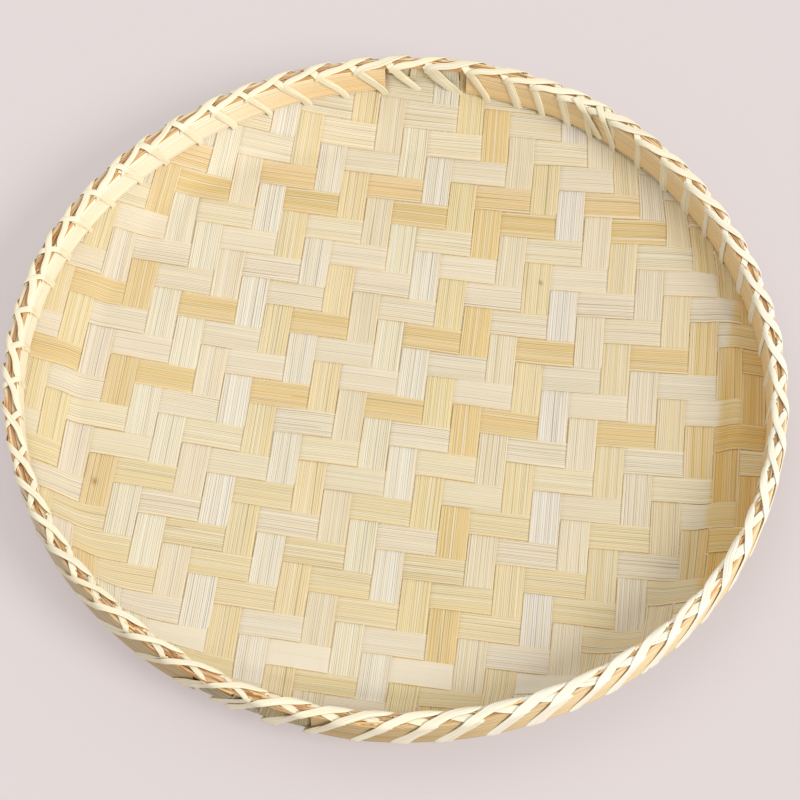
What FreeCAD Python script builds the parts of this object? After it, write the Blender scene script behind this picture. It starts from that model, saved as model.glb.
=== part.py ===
import FreeCAD, Part
import math
import os

# Winnowing tray of woven bamboo, in millimetres.
# Origin: centre of the base, on the surface that the tray rests on. +Z is up,
# +X runs along the wefts, and +Y runs roughly along the warps.
#
# The tray is a twill mat of warps and wefts, flat in the middle and dished towards
# the rim, more so on one side. Its edge is bent up and gripped between an inner and
# an outer hoop, with filler splits along the top edge. Two courses of ribbon lace
# the hoops together. Nothing moves.

# ---- Driving dimensions -------------------------------------------------------
WARP_PITCH = 15.0          # centre to centre
WEFT_PITCH = 15.17
STRIP_WIDTH = 12.8
STRIP_THICKNESS = 0.5
LAYER_GAP = 0.14           # between a strip and the strip that crosses it
WARP_LEAN = -0.044         # sideways shift of a warp per millimetre along it
WARP_CONVERGENCE = -0.0002  # and how that shift grows with the warp's own place
FIRST_WARP_X = -189.4
FIRST_WEFT_Y = -196.2
STRIP_COUNT = 27           # warps, and as many wefts

FLOOR_RADIUS = 170.0       # mean radius of the fold between floor and wall
FLOOR_SQUARENESS = 5.0     # how much further out the fold lies on the diagonals
FOLD_RADIUS = 16.0
BAND_FOLD_RADIUS = 10.0    # where the wall turns up between the hoops
BAND_FOLD_DROP = 1.0       # how far below the hoops it turns
BAND_RADIUS = 195.5        # middle of the mat between the hoops; the lacing reaches 200
HOOP_BOTTOM = 20.0
HOOP_TOP = 36.6
MAT_TOP = 35.4             # where the strips are trimmed
HOOP_THICKNESS = 2.5
HOOP_CLEARANCE = 0.15      # between a hoop and the mat

FILLER_COUNT = 3
FILLER_THICKNESS = 0.9
FILLER_STAGGER = 12.0      # degrees from the ends of one split to those of the next
RIBBON_WIDTH = 3.4
RIBBON_THICKNESS = 0.4
RIBBON_GAP = 0.1
EDGE_ROUNDING = 1.2        # how tightly the ribbon turns over the rim's edges
STITCH_COUNT = 60

# How a span of each course runs over the rim: (stitches along the rim, share of the
# way from the outer face's lower edge, over the top, to the inner face's lower edge).
OVER_ROUTE = ((0.0, 0.0), (0.2, 0.2), (0.5, 0.42), (1.3, 0.5), (2.1, 0.58), (2.1, 0.75), (1.5, 1.0))
UNDER_ROUTE = ((0.0, 1.0), (0.2, 0.8), (0.5, 0.58), (1.3, 0.5), (2.1, 0.42), (2.4, 0.3))
TAIL_ROUTE = ((0.0, 1.0), (0.2, 0.9), (0.5, 0.8), (0.6, 0.7))
TAIL_PLACE = 64.0          # degrees round the rim
UNDER_LAYER, OVER_LAYER, TAIL_LAYER = 0, 1, 2   # outwards from the hoops

# The mat's middle lies flat, and from there it rises towards the fold, by a mean
# height and lobes of it: number round the tray, amplitude and direction.
DISH_START = 75.0
DISH_HEIGHT = 6.5
DISH_LOBES = ((1, 2.8, -5.0), (2, 3.8, 48.0), (3, 1.5, 111.0))
DISH_CURVE = 1.3
WALL_RUN = 33.0            # from the fold to where the mat turns up, along the mat

# A hand-made rim isn't quite round: amplitude and direction of its lobes.
LOBES = ((2, 1.2, 228.0), (3, 1.5, 222.0), (4, 0.6, 297.0))

INNER_HOOP_ENDS = (100.8, 447.9)     # degrees; the ends don't quite meet
OUTER_HOOP_ENDS = (266.7, 608.7)
FILLER_ENDS = (70.0, 428.0)

# How finely the shapes are followed.
RING_STEPS = 144           # along a hoop or a filler split
RIBBON_STEPS = 21          # along a span of ribbon
WIDTH_STEPS = 4            # across a strip where it is bent
STATIONS_PER_CROSSING = 5
END_MARGIN = 1.0           # least distance from a strip's end to the station before it
FLAT_MARGIN = 1.0          # a station counts as flat if the mat is flat this far round it
NORMAL_STEP = 0.05         # either side of a point, to find the mat's slope there
HALVINGS = 30              # of the range in which the trimmed edge is sought
REACH_PASSES = 6           # to settle how far a strip runs

# ---- Derived sizes ------------------------------------------------------------
LAYER_OFFSET = (STRIP_THICKNESS + LAYER_GAP) / 2
MAT_HALF = LAYER_OFFSET + STRIP_THICKNESS / 2
OUTER_HOOP_INSIDE = BAND_RADIUS + MAT_HALF + HOOP_CLEARANCE
OUTER_HOOP_OUTSIDE = OUTER_HOOP_INSIDE + HOOP_THICKNESS
INNER_HOOP_OUTSIDE = BAND_RADIUS - MAT_HALF - HOOP_CLEARANCE
INNER_HOOP_INSIDE = INNER_HOOP_OUTSIDE - HOOP_THICKNESS
STITCH_ANGLE = 360.0 / STITCH_COUNT
STITCH = math.radians(STITCH_ANGLE) * BAND_RADIUS
FACE_HEIGHT = HOOP_TOP + FILLER_THICKNESS - HOOP_BOTTOM
RIM_WIDTH = OUTER_HOOP_OUTSIDE - INNER_HOOP_INSIDE
OVER_LENGTH = 2 * FACE_HEIGHT + RIM_WIDTH


# ---- Shape of the tray --------------------------------------------------------
def lobed(lobes, angle):
    """Sum of waves round the tray at an angle in radians."""
    return sum(
        size * math.cos(count * angle - math.radians(direction))
        for count, size, direction in lobes
    )


def rim_offset(angle):
    """How far the rim lies from a true circle."""
    return lobed(LOBES, angle)


def dish_height(run, angle):
    """How far the dished mat stands above a flat one, before the wall's own rise."""
    rise = min(max((run - DISH_START) / (FLOOR_RADIUS - DISH_START), 0.0), 1.0) ** DISH_CURVE
    wall = min(max((run - FLOOR_RADIUS) / WALL_RUN, 0.0), 1.0)
    left = 1 - wall * wall * (3 - 2 * wall)
    return max(DISH_HEIGHT + lobed(DISH_LOBES, angle), 0.0) * rise * left


def fold_radius_at(angle):
    return FLOOR_RADIUS - FLOOR_SQUARENESS * math.cos(4 * angle)


def wall_profile(run, floor_edge, band):
    """Radius and height of the mat, a run measured along it from its centre."""
    corner_height = HOOP_BOTTOM - BAND_FOLD_DROP
    slope = math.atan2(corner_height, band - floor_edge)
    wall_length = math.hypot(corner_height, band - floor_edge)
    first_cut = FOLD_RADIUS * math.tan(slope / 2)
    second_turn = math.pi / 2 - slope
    second_cut = BAND_FOLD_RADIUS * math.tan(second_turn / 2)
    run -= floor_edge - first_cut
    if run <= 0:
        return floor_edge - first_cut + run, 0.0
    if run <= FOLD_RADIUS * slope:
        turn = run / FOLD_RADIUS
        return (
            floor_edge - first_cut + FOLD_RADIUS * math.sin(turn),
            FOLD_RADIUS * (1 - math.cos(turn)),
        )
    run -= FOLD_RADIUS * slope
    straight = wall_length - first_cut - second_cut
    if run <= straight:
        reach = first_cut + run
        return floor_edge + reach * math.cos(slope), reach * math.sin(slope)
    run -= straight
    if run <= BAND_FOLD_RADIUS * second_turn:
        turn = slope + run / BAND_FOLD_RADIUS
        return (
            band - BAND_FOLD_RADIUS * (1 - math.sin(turn)),
            corner_height + second_cut - BAND_FOLD_RADIUS * math.cos(turn),
        )
    run -= BAND_FOLD_RADIUS * second_turn
    return band, corner_height + second_cut + run


def weave_x(p, y):
    """Where a warp's own place p lies across the flat weave, at a height y up it."""
    return p * (1 + WARP_CONVERGENCE * y) + WARP_LEAN * y


def mat_point(p, y):
    """Middle of the mat for a point of the flat weave, before its layer is set."""
    x = weave_x(p, y)
    run = math.hypot(x, y)
    angle = math.atan2(y, x)
    radius, height = wall_profile(run, fold_radius_at(angle), BAND_RADIUS + rim_offset(angle))
    height += dish_height(run, angle)
    return FreeCAD.Vector(radius * math.cos(angle), radius * math.sin(angle), height + MAT_HALF)


def mat_surface(p, y, lift):
    """A point a distance lift above the middle of the mat."""
    along_x = mat_point(p + NORMAL_STEP, y) - mat_point(p - NORMAL_STEP, y)
    along_y = mat_point(p, y + NORMAL_STEP) - mat_point(p, y - NORMAL_STEP)
    return mat_point(p, y) + along_x.cross(along_y).normalize() * lift


def trimmed_run(angle):
    """Run from the mat's centre to its trimmed edge."""
    low, high = BAND_RADIUS, BAND_RADIUS + 2 * HOOP_TOP
    for _ in range(HALVINGS):
        middle = (low + high) / 2
        height = wall_profile(middle, fold_radius_at(angle), BAND_RADIUS + rim_offset(angle))[1]
        if height + MAT_HALF < MAT_TOP:
            low = middle
        else:
            high = middle
    return low


# ---- Solids from surfaces -----------------------------------------------------
def smooth_face(rows):
    """A face that follows rows of points and never swings past them."""
    degrees, knots, counts = [], [], []
    for length in (len(rows), len(rows[0])):
        degree = min(2, length - 1)
        spans = length - degree
        degrees.append(degree)
        knots.append([float(step) for step in range(spans + 1)])
        counts.append([degree + 1] + [1] * (spans - 1) + [degree + 1])
    surface = Part.BSplineSurface()
    surface.buildFromPolesMultsKnots(
        rows, counts[0], counts[1], knots[0], knots[1], False, False, degrees[0], degrees[1]
    )
    return surface.toShape()


def closed_solid(faces):
    shell = Part.Shell(faces)
    shell.sewShape()
    solid = Part.Solid(shell)
    if solid.Volume < 0:
        solid.reverse()
    if not (shell.isClosed() and solid.isValid()):
        print("open or invalid solid, volume", solid.Volume)
    return solid


def skin_faces(upper, lower, first_end, last_end):
    """Upper and lower faces through rows of points, their side faces and chosen end faces."""
    faces = [smooth_face(upper), smooth_face(lower)]
    for side in (0, -1):
        faces.append(smooth_face([[above[side], below[side]] for above, below in zip(upper, lower)]))
    for end, wanted in ((0, first_end), (-1, last_end)):
        if wanted:
            faces.append(smooth_face([list(pair) for pair in zip(upper[end], lower[end])]))
    return faces


def band_solid(upper, lower):
    return closed_solid(skin_faces(upper, lower, True, True))


# ---- Woven strips -------------------------------------------------------------
def strip_centre(kind, number):
    if kind == "warp":
        return FIRST_WARP_X + number * WARP_PITCH
    return FIRST_WEFT_Y + number * WEFT_PITCH


def strip_lift(kind, number, crossing):
    """Layer of a strip at a crossing: two over, two under, one step along per row."""
    warp, weft = (number, crossing) if kind == "warp" else (crossing, number)
    weft_is_above = (warp + weft) % 4 in (1, 2)
    above = weft_is_above if kind == "weft" else not weft_is_above
    return LAYER_OFFSET if above else -LAYER_OFFSET


def weave_point(kind, centre, along, across, lift):
    if kind == "warp":
        return mat_surface(centre + across, along, lift)
    return mat_surface(along, centre + across, lift)


def strip_reach(kind, centre, side):
    """How far a strip runs to one side before either corner would pass the trimmed edge."""
    reach = BAND_RADIUS
    for _ in range(REACH_PASSES):
        limits = []
        for across in (-STRIP_WIDTH / 2, STRIP_WIDTH / 2):
            p, y = (centre + across, side * reach) if kind == "warp" else (side * reach, centre + across)
            x = weave_x(p, y)
            run = trimmed_run(math.atan2(y, x))
            other = x if kind == "warp" else y
            limit = math.sqrt(max(run * run - other * other, 0.0))
            if kind == "weft":
                limit = (limit - side * WARP_LEAN * y) / (1 + WARP_CONVERGENCE * y)
            limits.append(limit)
        reach = min(limits)
    return reach


def strip_stations(kind, number):
    """Distances along a strip, each with the strip's layer there."""
    centre = strip_centre(kind, number)
    low = -strip_reach(kind, centre, -1)
    high = strip_reach(kind, centre, 1)
    crossing_kind = "weft" if kind == "warp" else "warp"
    half = STRIP_WIDTH / 2
    stations = []
    for crossing in range(-1, STRIP_COUNT + 1):
        middle = strip_centre(crossing_kind, crossing)
        lift = strip_lift(kind, number, crossing)
        for step in range(STATIONS_PER_CROSSING):
            place = middle + (2 * step / (STATIONS_PER_CROSSING - 1) - 1) * half
            if low + END_MARGIN < place < high - END_MARGIN:
                stations.append((place, lift))
    before = min(stations)[1]
    after = max(stations)[1]
    return [(low, before)] + stations + [(high, after)]


def is_flat(kind, centre, place):
    """Whether the whole width of a strip is on the flat floor at a station, with room to spare."""
    half = STRIP_WIDTH / 2 + FLAT_MARGIN
    return all(
        weave_point(kind, centre, place + ahead, across, 0.0).z == MAT_HALF
        for across in (-half, half)
        for ahead in (-FLAT_MARGIN, FLAT_MARGIN)
    )


def floor_faces(kind, centre, stations):
    """Faces of the stretch of a strip on the floor, plane but for its slopes between layers."""
    half = STRIP_WIDTH / 2
    thick = STRIP_THICKNESS / 2
    kept = [stations[0]]
    for before, here, after in zip(stations, stations[1:], stations[2:]):
        if before[1] != here[1] or here[1] != after[1]:
            kept.append(here)
    kept.append(stations[-1])
    faces = []
    outlines = {-half: ([], []), half: ([], [])}
    for across, (upper, lower) in outlines.items():
        for place, lift in kept:
            upper.append(weave_point(kind, centre, place, across, lift + thick))
            lower.append(weave_point(kind, centre, place, across, lift - thick))
        faces.append(Part.Face(Part.makePolygon(upper + lower[::-1] + upper[:1])))
    for level in (0, 1):
        near, far = outlines[-half][level], outlines[half][level]
        for a, b, c, d in zip(near, near[1:], far[1:], far):
            if a.z == b.z:
                faces.append(Part.Face(Part.makePolygon([a, b, c, d, a])))
            else:
                faces.append(smooth_face([[a, d], [b, c]]))
    return faces


def bent_faces(kind, centre, stations, first_end, last_end):
    """Curved faces of a stretch of a strip that is bent up the wall."""
    widths = [STRIP_WIDTH * (step / WIDTH_STEPS - 0.5) for step in range(WIDTH_STEPS + 1)]
    thick = STRIP_THICKNESS / 2
    upper, lower = (
        [
            [weave_point(kind, centre, place, across, lift + side * thick) for across in widths]
            for place, lift in stations
        ]
        for side in (1, -1)
    )
    return skin_faces(upper, lower, first_end, last_end)


def woven_strip(kind, number):
    centre = strip_centre(kind, number)
    stations = strip_stations(kind, number)
    flat = [index for index, (place, _) in enumerate(stations) if is_flat(kind, centre, place)]
    if len(flat) < 4:
        return closed_solid(bent_faces(kind, centre, stations, True, True))
    first, last = flat[0], flat[-1]
    faces = bent_faces(kind, centre, stations[: first + 1], True, False)
    faces += floor_faces(kind, centre, stations[first : last + 1])
    faces += bent_faces(kind, centre, stations[last:], False, True)
    return closed_solid(faces)


# ---- Hoops and filler ---------------------------------------------------------
def rim_point(degrees, radius, z):
    angle = math.radians(degrees)
    radius += rim_offset(angle)
    return FreeCAD.Vector(radius * math.cos(angle), radius * math.sin(angle), z)


def split_ring(ends, inside, outside, bottom, top):
    """A flat band bent round the rim, from one end to the other."""
    levels = (bottom, (bottom + top) / 2, top)
    outer, inner = (
        [
            [
                rim_point(ends[0] + (ends[1] - ends[0]) * step / RING_STEPS, radius, z)
                for z in levels
            ]
            for step in range(RING_STEPS + 1)
        ]
        for radius in (outside, inside)
    )
    return band_solid(outer, inner)


def hoops():
    return {
        "inner_hoop": split_ring(
            INNER_HOOP_ENDS, INNER_HOOP_INSIDE, INNER_HOOP_OUTSIDE, HOOP_BOTTOM, HOOP_TOP
        ),
        "outer_hoop": split_ring(
            OUTER_HOOP_ENDS, OUTER_HOOP_INSIDE, OUTER_HOOP_OUTSIDE, HOOP_BOTTOM, HOOP_TOP
        ),
    }


def filler_splits():
    """Narrow splits side by side on top of the hoops, covering the mat's trimmed edge."""
    room = (OUTER_HOOP_OUTSIDE - INNER_HOOP_INSIDE) / FILLER_COUNT
    bottom = HOOP_TOP + RIBBON_GAP
    splits = []
    for number in range(FILLER_COUNT):
        inside = INNER_HOOP_INSIDE + number * room + RIBBON_GAP / 2
        ends = [end + FILLER_STAGGER * number for end in FILLER_ENDS]
        splits.append(
            split_ring(ends, inside, inside + room - RIBBON_GAP, bottom, bottom + FILLER_THICKNESS)
        )
    return Part.makeCompound(splits)


# ---- Lacing -------------------------------------------------------------------
def over_the_rim(climb, stand_off):
    """Radius, height and facing after a climb up the outer face, over the top and down inside."""
    corner = EDGE_ROUNDING + stand_off
    quarter = corner * math.pi / 2
    outer = OUTER_HOOP_OUTSIDE + stand_off
    inner = INNER_HOOP_INSIDE - stand_off
    top = HOOP_TOP + RIBBON_GAP + FILLER_THICKNESS + stand_off
    face_height = OVER_LENGTH / 2 - quarter - (outer - inner - 2 * corner) / 2
    if climb <= face_height:
        return outer, top - corner - face_height + climb, 0.0
    climb -= face_height
    if climb <= quarter:
        turn = climb / corner
        return outer - corner * (1 - math.cos(turn)), top - corner * (1 - math.sin(turn)), turn
    climb -= quarter
    if climb <= outer - inner - 2 * corner:
        return outer - corner - climb, top, math.pi / 2
    climb -= outer - inner - 2 * corner
    if climb <= quarter:
        turn = math.pi / 2 + climb / corner
        return inner + corner * (1 + math.cos(turn)), top - corner * (1 - math.sin(turn)), turn
    return inner, top - corner - (climb - quarter), math.pi


def ribbon(start, route, layer):
    """A span of ribbon laced over the rim, starting at an angle in degrees.

    The route's points are (stitches along the rim, climb as a share of the way over)."""
    stand_off = RIBBON_GAP + layer * (RIBBON_THICKNESS + RIBBON_GAP) + RIBBON_THICKNESS / 2
    poles = [FreeCAD.Vector(along * STITCH, share * OVER_LENGTH, 0) for along, share in route]
    curve = Part.BSplineCurve()
    curve.buildFromPoles(poles, False, 3)
    upper, lower = [], []
    for place in curve.discretize(Number=RIBBON_STEPS + 1):
        tangent = curve.tangent(curve.parameter(place))[0]
        sideways = FreeCAD.Vector(-tangent.y, tangent.x, 0) * (RIBBON_WIDTH / 2)
        for rows, side in ((upper, 1), (lower, -1)):
            row = []
            for share in (-1, 0, 1):
                spot = place + sideways * share
                radius, height, facing = over_the_rim(spot.y, stand_off)
                degrees = start + math.degrees(spot.x / BAND_RADIUS)
                angle = math.radians(degrees)
                outwards = FreeCAD.Vector(math.cos(angle), math.sin(angle), 0)
                normal = outwards * math.cos(facing) + FreeCAD.Vector(0, 0, math.sin(facing))
                row.append(
                    rim_point(degrees, radius, height) + normal * (side * RIBBON_THICKNESS / 2)
                )
            rows.append(row)
    return band_solid(upper, lower)


def lacing(route, layer, shift):
    """One course of spans round the rim, shifted by a share of a stitch."""
    spans = [
        ribbon((number + shift) * STITCH_ANGLE, route, layer) for number in range(STITCH_COUNT)
    ]
    return Part.makeCompound(spans)


def lacing_tail():
    """The cut end of the ribbon, tucked up against the inner hoop."""
    return ribbon(TAIL_PLACE, TAIL_ROUTE, TAIL_LAYER)


# ---- Output -------------------------------------------------------------------
def build():
    nodes = {}
    for kind in ("warp", "weft"):
        for number in range(STRIP_COUNT):
            nodes["%s_%02d" % (kind, number + 1)] = woven_strip(kind, number)
    nodes.update(hoops())
    nodes["rim_filler"] = filler_splits()
    nodes["lacing_under"] = lacing(UNDER_ROUTE, UNDER_LAYER, 0.5)
    nodes["lacing_over"] = lacing(OVER_ROUTE, OVER_LAYER, 0.0)
    nodes["lacing_tail"] = lacing_tail()
    return nodes


os.makedirs("parts", exist_ok=True)
for node_name, shape in build().items():
    if not shape.isValid():
        print("not valid:", node_name)
    shape.exportStep("parts/%s.step" % node_name)
    box = shape.BoundBox
    print(node_name, "volume", round(shape.Volume, 1), "z", round(box.ZMin, 2), round(box.ZMax, 2))
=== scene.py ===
import math

import bpy
import numpy as np
from mathutils import Matrix, Vector


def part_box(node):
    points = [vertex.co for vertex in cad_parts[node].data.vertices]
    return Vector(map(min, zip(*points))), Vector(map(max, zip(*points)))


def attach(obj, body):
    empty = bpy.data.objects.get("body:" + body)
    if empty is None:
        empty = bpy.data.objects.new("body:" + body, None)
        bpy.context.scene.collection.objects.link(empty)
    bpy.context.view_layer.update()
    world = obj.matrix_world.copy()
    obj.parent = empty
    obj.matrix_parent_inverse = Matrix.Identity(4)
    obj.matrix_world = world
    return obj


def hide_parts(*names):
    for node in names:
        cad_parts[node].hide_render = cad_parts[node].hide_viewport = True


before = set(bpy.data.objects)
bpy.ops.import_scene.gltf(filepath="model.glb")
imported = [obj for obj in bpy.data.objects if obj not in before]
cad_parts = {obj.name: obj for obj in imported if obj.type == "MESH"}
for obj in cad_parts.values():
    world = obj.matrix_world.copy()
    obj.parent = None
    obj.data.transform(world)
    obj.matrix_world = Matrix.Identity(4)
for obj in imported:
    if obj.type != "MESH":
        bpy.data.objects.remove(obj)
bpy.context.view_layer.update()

# Woven bamboo winnowing tray. Lengths are millimetres until a mesh is made.
MM = 0.001

# ---- Sizes shared with the design --------------------------------------------
# Lobes are (how many all the way round, size, phase in degrees).
STRIP_COUNT = 27
PITCH = {"warp": 15.0, "weft": 15.17}
WARP_LEAN = -0.044          # sideways shift of a warp for each millimetre up the mat
WARP_CONVERGENCE = -0.0002  # how fast the warps draw together towards the far side
FIRST_CENTRE = {"warp": -189.4, "weft": -196.2}
FLOOR_RADIUS = 170.0        # where the mat's floor would meet its sloping side
FLOOR_SQUARENESS = 5.0
FOLD_RADIUS = 16.0          # of the bend from floor to side
BAND_FOLD_RADIUS = 10.0     # of the bend from side to the upright band between the hoops
BAND_FOLD_DROP = 1.0        # how far below the hoops the side and the band would meet
BAND_RADIUS = 195.5
DISH_START = 75.0           # how far from the middle the dish starts to rise
DISH_HEIGHT = 6.5
DISH_LOBES = ((1, 2.8, -5.0), (2, 3.8, 48.0), (3, 1.5, 111.0))
DISH_CURVE = 1.3
WALL_RUN = 33.0             # run along the mat over which the dish fades out again
HOOP_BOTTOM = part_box("outer_hoop")[0].z / MM
HOOP_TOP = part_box("outer_hoop")[1].z / MM
MAT_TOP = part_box("warp_14")[1].z / MM
FILLER_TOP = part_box("rim_filler")[1].z / MM
LOBES = ((2, 1.2, 228.0), (3, 1.5, 222.0), (4, 0.6, 297.0))
INNER_HOOP_ENDS = (100.8, 447.9)
OUTER_HOOP_ENDS = (266.7, 608.7)
INNER_HOOP_RADII = (192.1, 194.8)
OUTER_HOOP_RADII = (196.3, 199.0)
STITCH_COUNT = 60
OUTER_BULGE = 1.9           # how far the mat fills the gap between the outer hoop's ends
INNER_BULGE = 1.2           # and between the inner hoop's ends
BULGE_FADE = 3.0            # length over which those bulges start
INNER_HOOP_LEAN = 1.8       # how much further in the inner hoop's lower edge stands

# ---- Sizes of the visible weave ------------------------------------------------
STRIP_THICKNESS = 0.44
STRIP_GAP = 0.50            # between two strips that lie side by side
STRIP_STEP = 1.25           # length of a strip's faces
TRIM_STRETCH = 26.0         # length over which a strip's faces turn to follow its trimmed end
MAT_MIDDLE = 1.05           # height of the mat's middle above the table
LAYER = 0.25                # how far a float lies above or below the mat's middle
FLOAT_ARCH = 0.10
RAMP = 1.8                  # half length of the slope between two floats
EDGE_RAMP = 2.1             # how far a lifted edge reaches into a strip


def rng(*seed):
    return np.random.default_rng([7919] + [int(part) for part in seed])


def smoothstep(x):
    x = np.clip(x, 0.0, 1.0)
    return x * x * (3 - 2 * x)


def ripple(seed, place, wavelengths, sizes):
    """Smooth irregularity along a length: a sum of waves with seeded phases."""
    total = np.zeros_like(place, dtype=float)
    for wavelength, size in zip(wavelengths, sizes):
        phase, stretch = seed.uniform(0, 2 * math.pi), seed.uniform(0.8, 1.25)
        total += size * np.sin(place * (2 * math.pi / (wavelength * stretch)) + phase)
    return total


# ---- Shape of the tray ---------------------------------------------------------
def lobed(lobes, angle):
    """Sum of even waves round the tray."""
    return sum(size * np.cos(count * angle - math.radians(turn)) for count, size, turn in lobes)


def rim_offset(angle):
    return lobed(LOBES, angle)


def hoop_gap(angle, ends, fade):
    """1 in the gap between a hoop's ends, fading over a length to 0 at the ends."""
    start, end = math.radians(ends[1] - 360), math.radians(ends[0])
    turn = 2 * math.pi
    inside = np.minimum((angle - start) % turn, (end - angle) % turn) * BAND_RADIUS
    return np.where((angle - start) % turn < end - start, smoothstep(inside / fade), 0.0)


def band_radius(angle):
    """Radius of the mat between the hoops. It bulges where one of them leaves a gap."""
    outwards = OUTER_BULGE * hoop_gap(angle, OUTER_HOOP_ENDS, BULGE_FADE)
    inwards = INNER_BULGE * hoop_gap(angle, INNER_HOOP_ENDS, BULGE_FADE)
    return BAND_RADIUS + rim_offset(angle) + outwards - inwards


def dish_height(run, angle):
    """How far the dished mat stands above a flat one, before the wall's own rise."""
    rise = np.clip((run - DISH_START) / (FLOOR_RADIUS - DISH_START), 0, 1) ** DISH_CURVE
    left = 1 - smoothstep((run - FLOOR_RADIUS) / WALL_RUN)
    return np.maximum(DISH_HEIGHT + lobed(DISH_LOBES, angle), 0) * rise * left


def weave_x(p, y):
    """Where a warp's own place p lies across the flat weave, at a height y up it."""
    return p * (1 + WARP_CONVERGENCE * y) + WARP_LEAN * y


def wall_profile(run, floor_edge, band):
    """Radius and height of the mat, a run measured along it from its centre."""
    corner = HOOP_BOTTOM - BAND_FOLD_DROP
    slope = np.arctan2(corner, band - floor_edge)
    first_cut = FOLD_RADIUS * np.tan(slope / 2)
    second_turn = math.pi / 2 - slope
    second_cut = BAND_FOLD_RADIUS * np.tan(second_turn / 2)
    straight = np.hypot(corner, band - floor_edge) - first_cut - second_cut
    start = floor_edge - first_cut
    a = run - start
    b = a - FOLD_RADIUS * slope
    c = b - straight
    d = c - BAND_FOLD_RADIUS * second_turn
    turn_a = np.clip(a / FOLD_RADIUS, 0, slope)
    turn_c = slope + np.clip(c / BAND_FOLD_RADIUS, 0, second_turn)
    reach = first_cut + b
    cases = [a <= 0, b <= 0, c <= 0, d <= 0]
    radius = np.select(
        cases,
        [
            run,
            start + FOLD_RADIUS * np.sin(turn_a),
            floor_edge + reach * np.cos(slope),
            band - BAND_FOLD_RADIUS * (1 - np.sin(turn_c)),
        ],
        band,
    )
    height = np.select(
        cases,
        [
            0.0 * run,
            FOLD_RADIUS * (1 - np.cos(turn_a)),
            reach * np.sin(slope),
            corner + second_cut - BAND_FOLD_RADIUS * np.cos(turn_c),
        ],
        corner + second_cut + d,
    )
    return radius, height


SWELL_FADE_START = 150.0    # the floor's low swells fade out from here
SWELL_FADE_LENGTH = 45.0


def floor_unevenness(x, y):
    """The mat's floor isn't quite flat: low swells a hand across."""
    return (
        0.22 * np.sin(x / 31.0 + 0.7) * np.sin(y / 37.0 + 1.9)
        + 0.16 * np.sin((x + y) / 23.0 + 2.6)
        + 0.12 * np.sin((x - 1.6 * y) / 29.0 + 0.4)
        + 0.3
    )


def mat_point(p, y):
    """Where a point p across and y up the flat weave lies on the tray."""
    x = weave_x(p, y)
    run = np.hypot(x, y)
    angle = np.arctan2(y, x)
    fold = FLOOR_RADIUS - FLOOR_SQUARENESS * np.cos(4 * angle)
    radius, height = wall_profile(run, fold, band_radius(angle))
    height = height + dish_height(run, angle)
    level = 1 - smoothstep((run - SWELL_FADE_START) / SWELL_FADE_LENGTH)
    height = height + floor_unevenness(x, y) * level
    return np.stack([radius * np.cos(angle), radius * np.sin(angle), height + MAT_MIDDLE], -1)


NORMAL_STEP = 0.2


def mat_surface(p, y, lift):
    """A point lifted off the mat along its normal."""
    step = NORMAL_STEP
    along_x = mat_point(p + step, y) - mat_point(p - step, y)
    along_y = mat_point(p, y + step) - mat_point(p, y - step)
    normal = np.cross(along_x, along_y)
    normal /= np.linalg.norm(normal, axis=-1, keepdims=True)
    return mat_point(p, y) + normal * lift[..., None]


HALVINGS = 25               # enough to find the trimmed edge to under a micrometre


def trimmed_run(angle):
    """Run from the mat's centre to its trimmed edge."""
    low = np.full_like(angle, BAND_RADIUS)
    high = low + 2 * HOOP_TOP
    band = band_radius(angle)
    fold = FLOOR_RADIUS - FLOOR_SQUARENESS * np.cos(4 * angle)
    for _ in range(HALVINGS):
        middle = (low + high) / 2
        short = wall_profile(middle, fold, band)[1] + MAT_MIDDLE < MAT_TOP
        low = np.where(short, middle, low)
        high = np.where(short, high, middle)
    return low


# ---- Meshes --------------------------------------------------------------------
def loop_mesh(rings, uv, tint, traits):
    """A solid through rings of points, closed at both ends. Every ring is a closed outline.

    uv holds a (across, along) pair for each point. The tint is one colour, or one for
    each point, and the traits are the same all over."""
    count, around = rings.shape[:2]
    index = np.arange(count * around).reshape(count, around)
    here, ahead = index[:-1], index[1:]
    quads = np.stack([here, np.roll(here, -1, 1), np.roll(ahead, -1, 1), ahead], -1)
    faces = quads.reshape(-1, 4).tolist()
    faces.append(index[0][::-1].tolist())
    faces.append(index[-1].tolist())
    return {
        "points": rings.reshape(-1, 3) * MM,
        "faces": faces,
        "uv": uv.reshape(-1, 2),
        "tint": np.insert(np.broadcast_to(tint, rings.shape).reshape(-1, 3), 3, 1.0, axis=1),
        "traits": np.tile(np.append(traits, 1.0), (count * around, 1)),
    }


def add_object(name, parts, material):
    """One object from several loop meshes."""
    offset = 0
    faces, points = [], []
    for part in parts:
        points.append(part["points"])
        faces += [[corner + offset for corner in face] for face in part["faces"]]
        offset += len(part["points"])
    mesh = bpy.data.meshes.new(name)
    mesh.from_pydata(np.concatenate(points).tolist(), [], faces)
    corners = np.empty(len(mesh.loops), dtype=np.int64)
    mesh.loops.foreach_get("vertex_index", corners)
    uv = np.concatenate([part["uv"] for part in parts])
    layer = mesh.uv_layers.new(name="strip")
    layer.data.foreach_set("uv", uv[corners].ravel())
    for label in ("tint", "traits"):
        values = np.concatenate([part[label] for part in parts])
        attribute = mesh.attributes.new(label, "FLOAT_COLOR", "POINT")
        attribute.data.foreach_set("color", values.ravel())
    mesh.polygons.foreach_set("use_smooth", [True] * len(mesh.polygons))
    mesh.materials.append(material)
    mesh.update()
    mesh.set_sharp_from_angle(angle=math.radians(50))
    made = bpy.data.objects.new(name, mesh)
    bpy.context.scene.collection.objects.link(made)
    return made


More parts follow.
